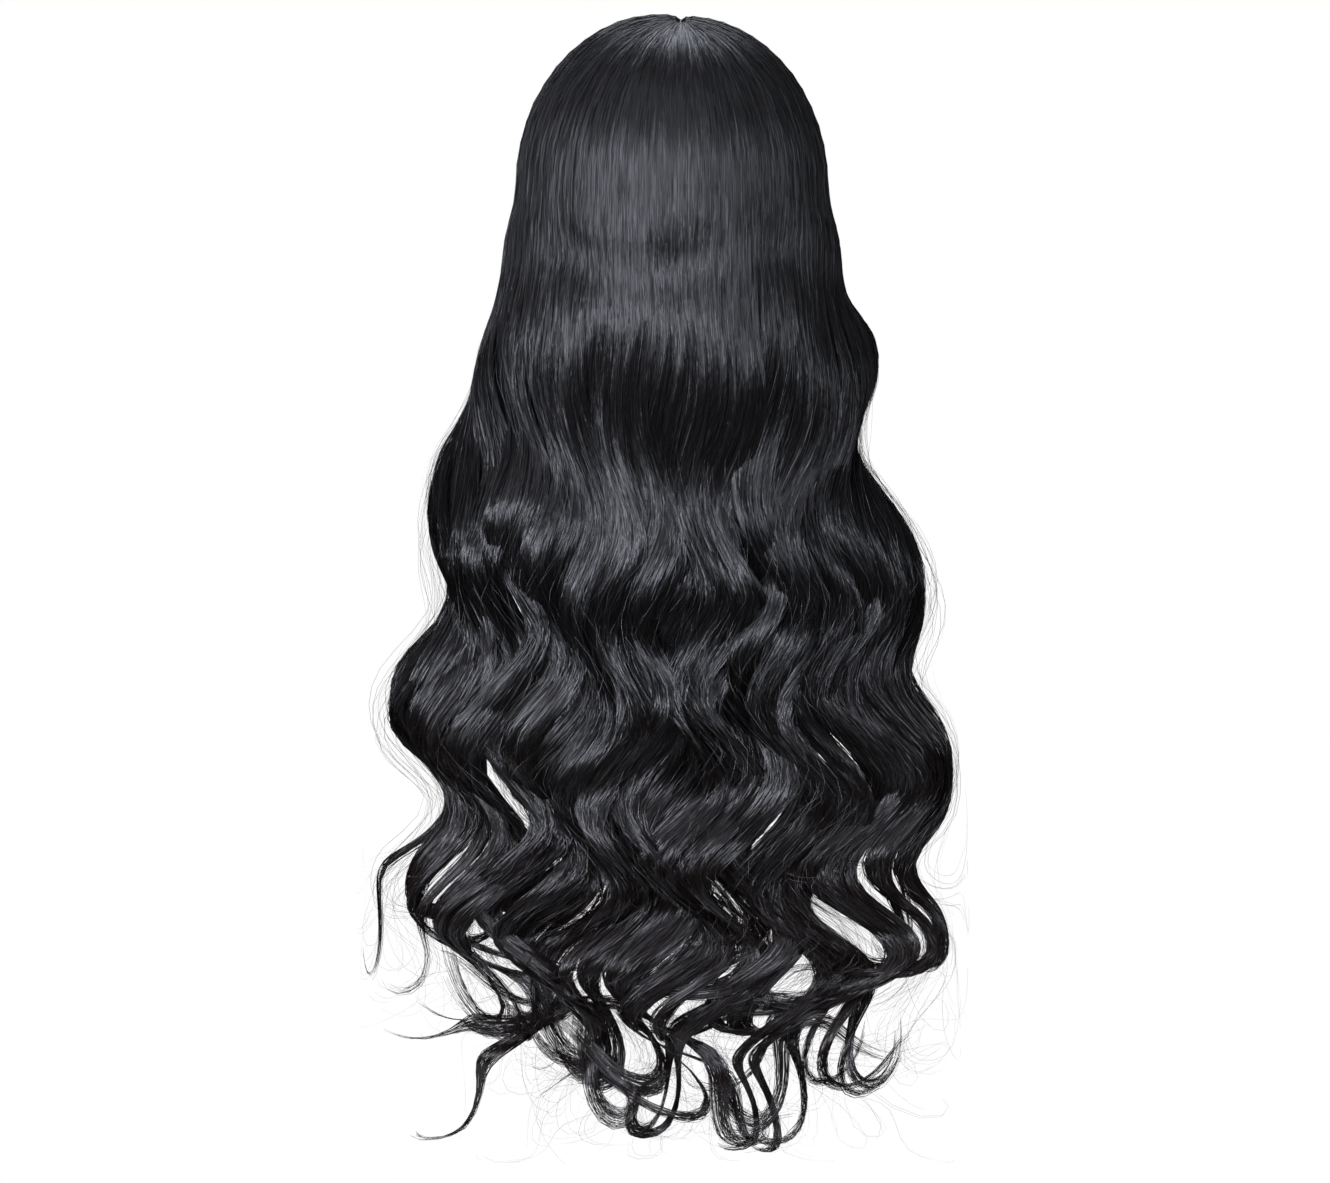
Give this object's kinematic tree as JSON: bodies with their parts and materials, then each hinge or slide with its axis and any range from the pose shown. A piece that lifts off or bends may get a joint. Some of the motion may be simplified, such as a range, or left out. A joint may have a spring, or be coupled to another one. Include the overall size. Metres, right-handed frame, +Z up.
{
  "type": "lace front wig",
  "caption": "Long black body-wave wig: a net cap with a lace front, ear tabs and a nape band, under layered wavy locks that fall from a short parting to mid back.",
  "frame": {"origin": "inside top of the cap, where it sits on the crown of the head", "axes": "+Z up, -Y the way the face looks, +X the wearer's left"},
  "size_m": [0.3377, 0.2083, 0.6666],
  "materials": {
    "cap_net": "matte stretch net",
    "lace": "matte sheer lace",
    "elastic": "matte woven elastic",
    "hair": "glossy hair"
  },
  "bodies": {
    "root": {"cap": "cap_net", "lace_front": "lace", "ear_tab_left": "cap_net", "ear_tab_right": "cap_net", "nape_band": "elastic", "tress_01": "hair", "tress_02": "hair", "tress_03": "hair", "tress_04": "hair", "tress_05": "hair", "tress_06": "hair", "tress_07": "hair", "tress_08": "hair", "tress_09": "hair", "tress_10": "hair", "tress_11": "hair", "tress_12": "hair", "tress_13": "hair", "tress_14": "hair", "tress_15": "hair", "tress_16": "hair", "under_tress_1": "hair", "under_tress_2": "hair", "under_tress_3": "hair", "under_tress_4": "hair", "under_tress_5": "hair", "under_tress_6": "hair", "under_tress_7": "hair", "under_tress_8": "hair"}
  },
  "joints": []
}
